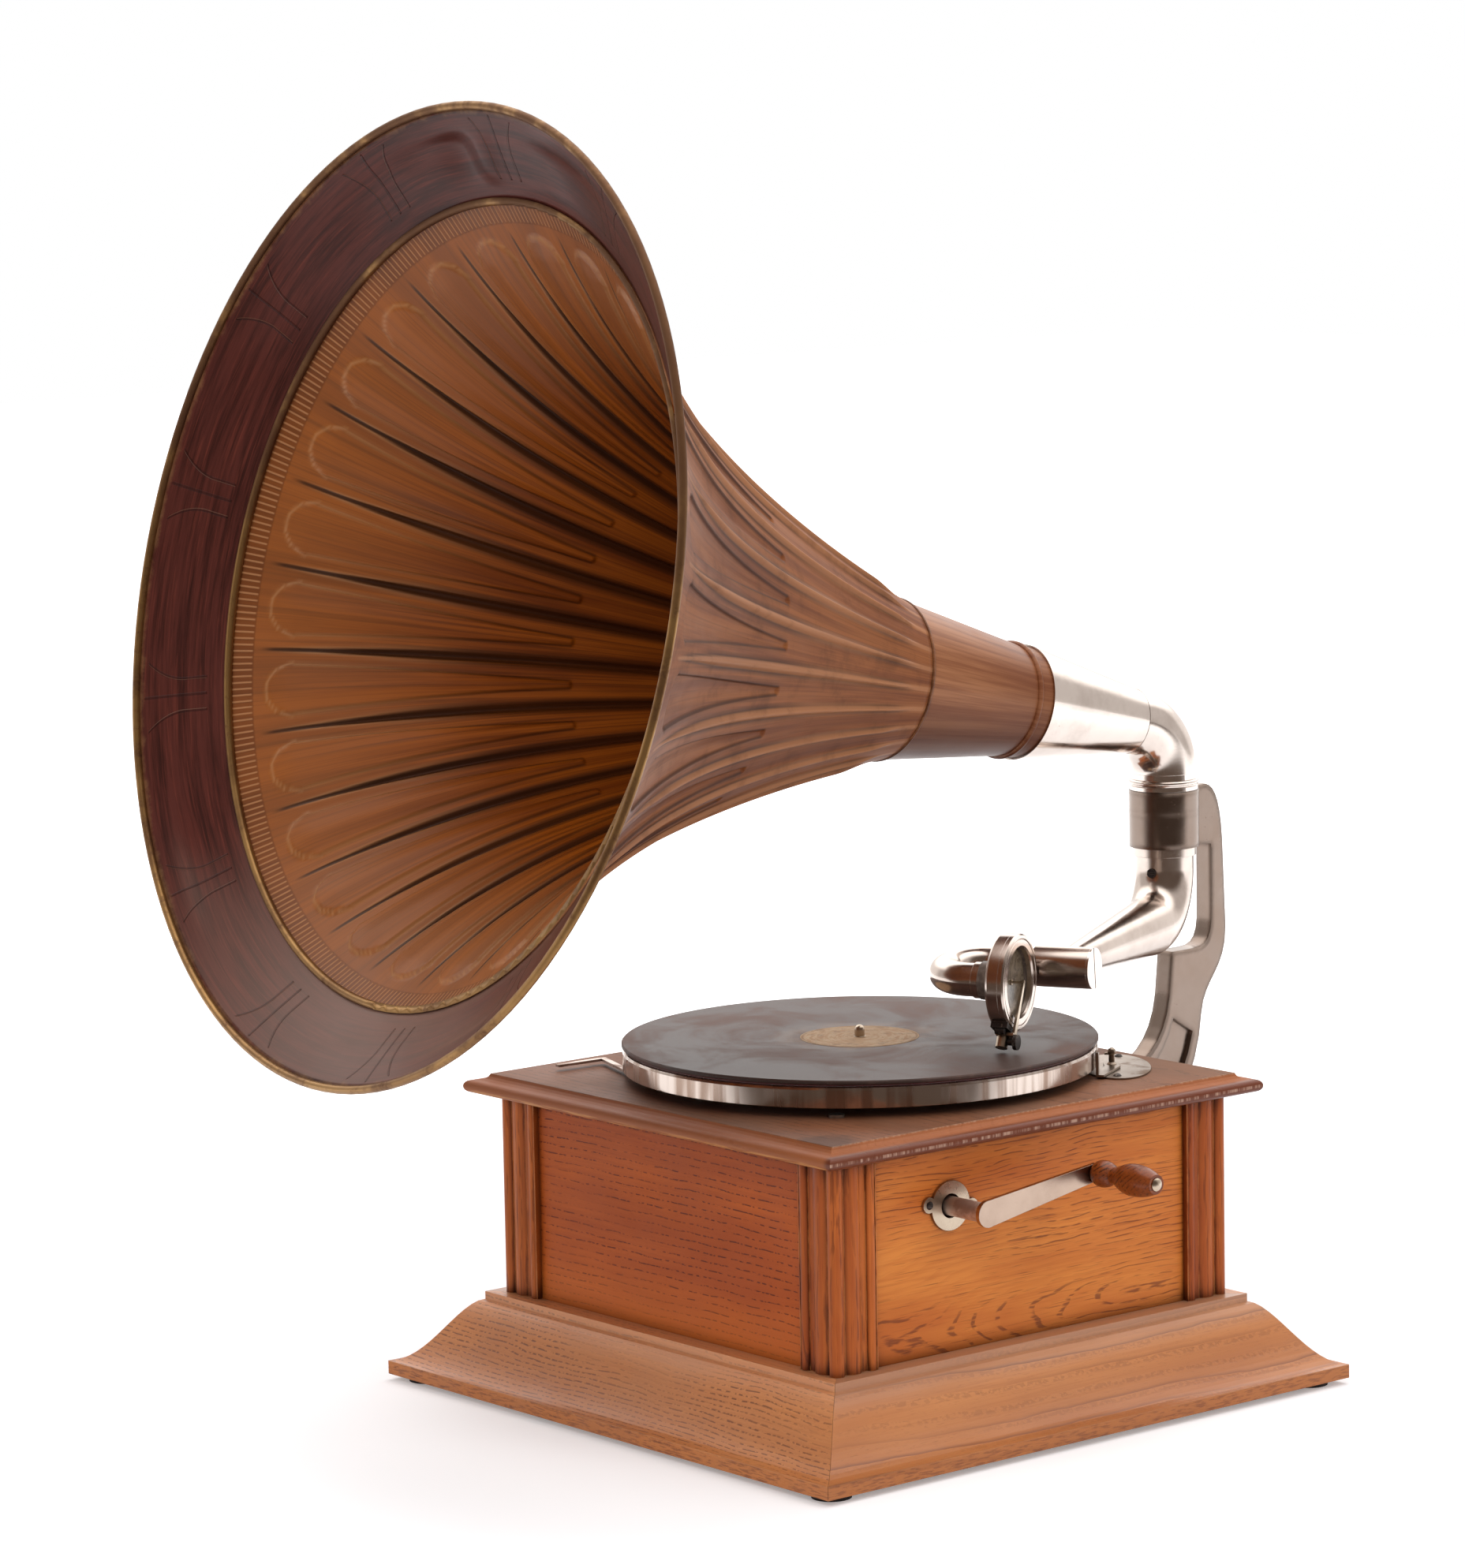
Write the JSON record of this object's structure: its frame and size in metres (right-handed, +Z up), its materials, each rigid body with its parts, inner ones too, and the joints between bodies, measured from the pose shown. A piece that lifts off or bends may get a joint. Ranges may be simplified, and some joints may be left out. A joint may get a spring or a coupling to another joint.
{
  "type": "horn gramophone",
  "caption": "Square wooden gramophone case on a moulded plinth with a turntable, side crank, jointed tone arm and a large flared horn that swivels on a rear bracket.",
  "frame": {"origin": "on the floor, at the centre of the four feet, straight below the turntable spindle", "axes": "+Z up; -Y is the case front, where the horn opens; +Y is the back, with the bracket; +X is the side with the winding crank"},
  "size_m": [0.5906, 0.7064, 0.8126],
  "materials": {
    "oak": "oiled oak, open grain",
    "oak_front": "reddish oak, flat grain",
    "oak_bright": "bright orange oak",
    "dark_wood": "dark stained wood",
    "nickel": "worn nickel plate",
    "steel": "plain steel",
    "dark_steel": "blued and worn steel",
    "brass": "machined brass",
    "felt": "red felt",
    "shellac": "dusty pressed disc",
    "label": "worn blank paper",
    "rubber": "aged rubber",
    "leather": "friction leather",
    "mica": "mica sheet",
    "horn_tan": "wood-grain paint",
    "horn_neck": "wood-grain paint, worn",
    "horn_maroon": "dark maroon paint",
    "gold": "worn gold paint",
    "foot_rubber": "rubber pad"
  },
  "bodies": {
    "case": {"feet": "foot_rubber", "plinth_moulding": "oak", "base_board": "dark_wood", "corner_posts": "oak", "front_panel": "oak_front", "back_panel": "oak", "left_panel": "oak", "right_panel": "oak_bright", "lid_board": "oak", "escutcheon": "nickel", "escutcheon_screws": "steel", "brake_plate": "nickel", "brake_screws": "steel", "motor_plates": "steel", "motor_pillars": "brass", "motor_bolts": "steel", "shaft_bearings": "steel", "bracket": "nickel", "bracket_screws": "steel"},
    "turntable": {"platter": "nickel", "felt_mat": "felt", "record": "shellac", "record_label": "label", "spindle": "steel", "spindle_gears": "brass"},
    "idler": {"idler_gears": "brass"},
    "barrel": {"spring_barrel": "brass", "mainspring": "steel"},
    "arbor": {"barrel_arbor": "steel", "crown_wheel": "brass"},
    "governor": {"governor_shaft": "steel", "governor_disc": "brass", "governor_weights": "brass", "governor_springs": "steel"},
    "winder": {"winding_shaft": "steel", "crank_tube": "nickel", "crank_arm": "nickel", "handle_pin": "steel"},
    "handle": {"crank_handle": "dark_wood"},
    "brake": {"brake_lever": "nickel", "brake_knob": "nickel"},
    "speed": {"speed_lever": "nickel", "speed_pad": "leather"},
    "tone_arm": {"tone_arm": "nickel", "arm_cap": "nickel", "arm_screw": "steel"},
    "reproducer": {"gooseneck": "nickel", "soundbox_isolator": "rubber", "soundbox_body": "nickel", "soundbox_gaskets": "rubber", "diaphragm": "mica", "front_ring": "nickel", "stylus_bar": "steel", "bar_saddle": "dark_steel"},
    "needle_screw": {"thumbscrew": "dark_steel"},
    "horn": {"horn_elbow": "nickel", "horn_neck": "horn_neck", "horn_body": "horn_tan", "horn_flare": "horn_maroon", "horn_rim": "gold"}
  },
  "joints": [
    {"name": "turntable_spin", "type": "hinge", "parent": "case", "child": "turntable", "pos_m": [0, 0, 0.199], "axis": [0, 0, 1], "continuous": true},
    {"name": "idler_spin", "type": "hinge", "parent": "case", "child": "idler", "pos_m": [0.04258, -0.01456, 0.154], "axis": [0, 0, 1], "continuous": true},
    {"name": "barrel_spin", "type": "hinge", "parent": "case", "child": "barrel", "pos_m": [0.045, -0.067, 0.112], "axis": [0, 0, 1], "continuous": true},
    {"name": "governor_spin", "type": "hinge", "parent": "case", "child": "governor", "pos_m": [-0.035, -0.03655, 0.115], "axis": [1, 0, 0], "continuous": true},
    {"name": "crank_spin", "type": "hinge", "parent": "case", "child": "winder", "pos_m": [0.1575, -0.067, 0.148], "axis": [1, 0, 0], "continuous": true},
    {"name": "arbor_spin", "type": "hinge", "parent": "case", "child": "arbor", "pos_m": [0.045, -0.067, 0.136], "axis": [0, 0, 1], "continuous": true},
    {"name": "handle_spin", "type": "hinge", "parent": "winder", "child": "handle", "pos_m": [0.2105, 0.02077, 0.1608], "axis": [1, 0, 0], "continuous": true},
    {"name": "brake_turn", "type": "hinge", "parent": "case", "child": "brake", "pos_m": [0.10118, 0.12189, 0.199], "axis": [0, 0, 1], "range_deg": [-1.4, 6]},
    {"name": "speed_turn", "type": "hinge", "parent": "case", "child": "speed", "pos_m": [-0.022, -0.102, 0.199], "axis": [0, 0, 1], "range_deg": [-8, 0]},
    {"name": "tone_arm_swing", "type": "hinge", "parent": "case", "child": "tone_arm", "pos_m": [0, 0.267, 0.3155], "axis": [0, 0, 1], "range_deg": [-11, 50]},
    {"name": "reproducer_lift", "type": "hinge", "parent": "tone_arm", "child": "reproducer", "pos_m": [0.07514, 0.08481, 0.2662], "axis": [-0.8957, -0.4446, 0], "range_deg": [0, 110]},
    {"name": "needle_screw_turn", "type": "hinge", "parent": "reproducer", "child": "needle_screw", "pos_m": [0.10945, 0.0292, 0.22897], "axis": [0.8957, 0.4446, 0], "range_deg": [-360, 0]},
    {"name": "horn_swivel", "type": "hinge", "parent": "case", "child": "horn", "pos_m": [0, 0.267, 0.353], "axis": [0, 0, 1], "range_deg": [-85, 85]}
  ],
  "couplings": [
    {"joint": "idler_spin", "follows": "turntable_spin", "ratio": -0.2},
    {"joint": "barrel_spin", "follows": "turntable_spin", "ratio": 0.033333},
    {"joint": "governor_spin", "follows": "turntable_spin", "ratio": 16},
    {"joint": "arbor_spin", "follows": "crank_spin", "ratio": 0.33333}
  ]
}
